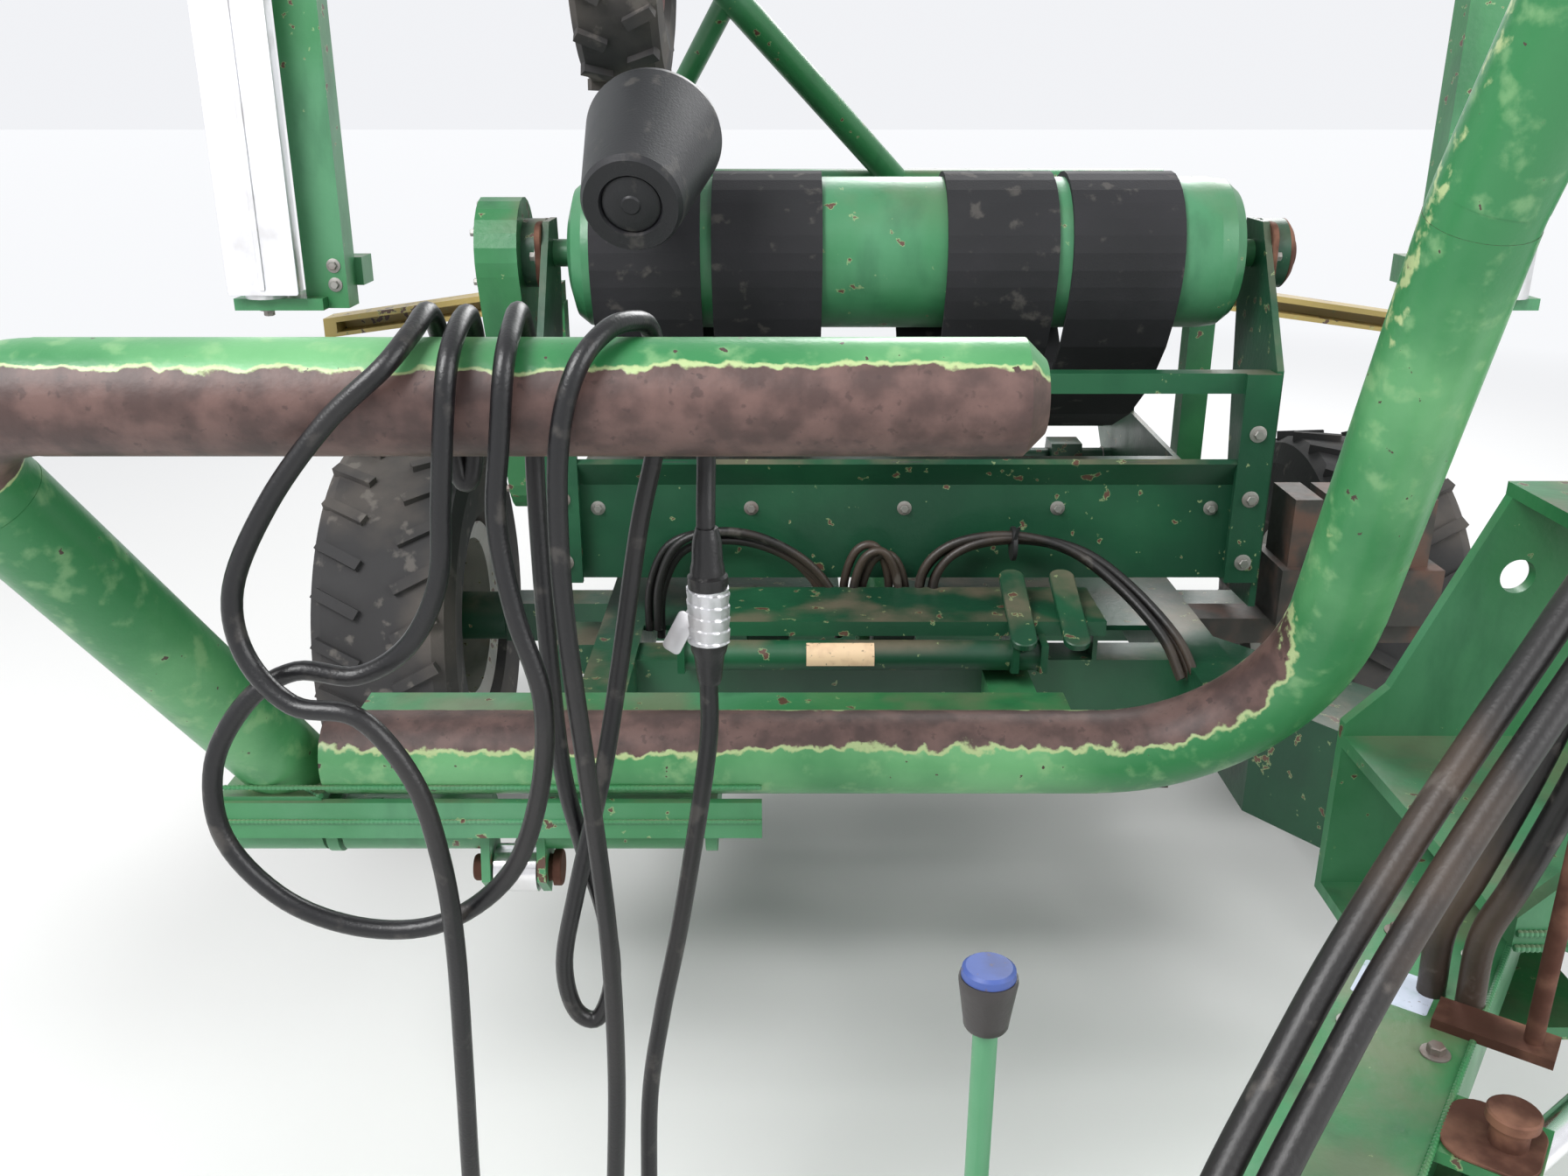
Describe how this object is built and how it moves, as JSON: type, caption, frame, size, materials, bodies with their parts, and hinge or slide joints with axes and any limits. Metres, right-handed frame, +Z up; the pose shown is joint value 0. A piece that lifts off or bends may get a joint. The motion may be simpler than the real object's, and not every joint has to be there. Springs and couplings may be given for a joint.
{
  "type": "bale wrapper",
  "caption": "Trailed round bale wrapper: belt table, bent loading arm, overhead turning arm with film stretchers, tipping frame with wheel and cone, and a swinging drawbar.",
  "frame": {"origin": "on the ground below the middle of the whole machine", "axes": "-Y is the direction of travel, +Z is up, and +X is the machine's side with the headstock"},
  "size_m": [2.79, 3.4252, 3.3102],
  "materials": {
    "painted": "gloss",
    "painted_dark": "satin",
    "worn": "worn, rust-brown",
    "yellow": "satin",
    "rimpaint": "satin",
    "redrim": "satin",
    "tyre": "matte",
    "belt": "matte",
    "cone": "matte",
    "alu": "satin",
    "iron": "rough",
    "zinc": "satin",
    "rod": "polished",
    "cable": "satin",
    "tape": "satin"
  },
  "bodies": {
    "chassis": {"main_frame": "painted_dark", "front_beam": "painted", "axle": "painted_dark", "headstock": "painted", "guard_bar": "worn", "tower": "painted", "rotor_drive": "iron", "valve_bank": "zinc", "cutter_left": "yellow", "cutter_right": "yellow"},
    "wheel_left": {"tyre_left": "tyre", "rim_left": "rimpaint"},
    "wheel_right": {"tyre_right": "tyre", "rim_right": "rimpaint"},
    "drawbar": {"drawbar_beam": "painted", "hitch_eye": "iron", "jack_sleeve": "painted", "jack_crank": "painted", "hose_holder": "painted_dark", "hose_left": "cable", "hose_right": "cable", "hose_couplings": "zinc"},
    "jack": {"jack_leg": "zinc"},
    "arm": {"finger_tube": "worn", "arm_foot": "painted", "control_cable": "cable", "cable_joint": "tape", "cable_plug": "cable"},
    "table": {"table_frame": "painted_dark", "front_roller": "painted", "rear_roller": "painted", "belts": "belt", "chain_case": "painted"},
    "rotor": {"rotor_arm": "painted", "stretcher_left": "painted", "stretcher_right": "painted", "film_rollers": "alu"},
    "tip": {"tip_frame": "painted"},
    "cone": {"guide_cone": "cone"},
    "tip_wheel": {"tip_tyre": "tyre", "tip_rim": "redrim"},
    "swing_outer": {"swing_barrel": "painted"},
    "swing_inner": {"swing_rod": "rod"},
    "arm_outer": {"arm_barrel": "painted"},
    "arm_inner": {"arm_rod": "rod"},
    "tilt_outer": {"tilt_barrel": "painted"},
    "tilt_inner": {"tilt_rod": "rod"}
  },
  "joints": [
    {"name": "wheel_left_spin", "type": "hinge", "parent": "chassis", "child": "wheel_left", "pos_m": [-1.035, 0.7, 0.4225], "axis": [1, 0, 0], "continuous": true},
    {"name": "wheel_right_spin", "type": "hinge", "parent": "chassis", "child": "wheel_right", "pos_m": [1.035, 0.7, 0.4225], "axis": [1, 0, 0], "continuous": true},
    {"name": "drawbar_swing", "type": "hinge", "parent": "chassis", "child": "drawbar", "pos_m": [0.77, -0.52, 0.475], "axis": [0, 0, 1], "range_deg": [0, 36]},
    {"name": "jack_slide", "type": "slide", "parent": "drawbar", "child": "jack", "axis": [0, 0, 1], "range_m": [0, 0.25]},
    {"name": "arm_lift", "type": "hinge", "parent": "chassis", "child": "arm", "pos_m": [-0.6, -0.5, 0.575], "axis": [1, 0, 0], "range_deg": [0, 95]},
    {"name": "table_tilt", "type": "hinge", "parent": "chassis", "child": "table", "pos_m": [0, 1.3, 0.64], "axis": [1, 0, 0], "range_deg": [-30, 0]},
    {"name": "rotor_turn", "type": "hinge", "parent": "chassis", "child": "rotor", "pos_m": [0, 0.8, 2.7], "axis": [0, 0, 1], "continuous": true},
    {"name": "tip_fold", "type": "hinge", "parent": "table", "child": "tip", "pos_m": [0, 1.65, 0.95], "axis": [1, 0, 0], "range_deg": [-128.7, 0]},
    {"name": "cone_spin", "type": "hinge", "parent": "tip", "child": "cone", "pos_m": [-0.434, 0.2, 1.49], "axis": [-0.0772, -0.9192, -0.3861], "continuous": true},
    {"name": "tip_wheel_spin", "type": "hinge", "parent": "tip", "child": "tip_wheel", "pos_m": [-0.525, 0.64, 1.83], "axis": [1, 0, 0], "continuous": true},
    {"name": "swing_pivot", "type": "hinge", "parent": "chassis", "child": "swing_outer", "pos_m": [1.14, -0.64, 0.5], "axis": [0, 0, 1], "range_deg": [0, 29]},
    {"name": "swing_stroke", "type": "slide", "parent": "swing_outer", "child": "swing_inner", "axis": [-0.8037, -0.595, 0], "range_m": [-0.2255, 0]},
    {"name": "arm_pivot", "type": "hinge", "parent": "chassis", "child": "arm_outer", "pos_m": [-0.6, 0.25, 0.43], "axis": [1, 0, 0], "range_deg": [-6.4, 0]},
    {"name": "arm_stroke", "type": "slide", "parent": "arm_outer", "child": "arm_inner", "axis": [0, -0.9951, 0.0994], "range_m": [-0.0711, 0]},
    {"name": "tilt_pivot", "type": "hinge", "parent": "chassis", "child": "tilt_outer", "pos_m": [-0.04, 0.15, 0.47], "axis": [1, 0, 0], "range_deg": [0, 16.1]},
    {"name": "tilt_stroke", "type": "slide", "parent": "tilt_outer", "child": "tilt_inner", "axis": [0, 0.9226, 0.3858], "range_m": [0, 0.2466]}
  ],
  "couplings": [
    {"joint": "swing_pivot", "follows": "drawbar_swing", "ratio": 0.7926},
    {"joint": "swing_stroke", "follows": "drawbar_swing", "m_per_rad": -0.3573},
    {"joint": "arm_pivot", "follows": "arm_lift", "ratio": -0.0624},
    {"joint": "arm_stroke", "follows": "arm_lift", "m_per_rad": -0.0423},
    {"joint": "tilt_pivot", "follows": "table_tilt", "ratio": -0.521},
    {"joint": "tilt_stroke", "follows": "table_tilt", "m_per_rad": -0.4691}
  ]
}
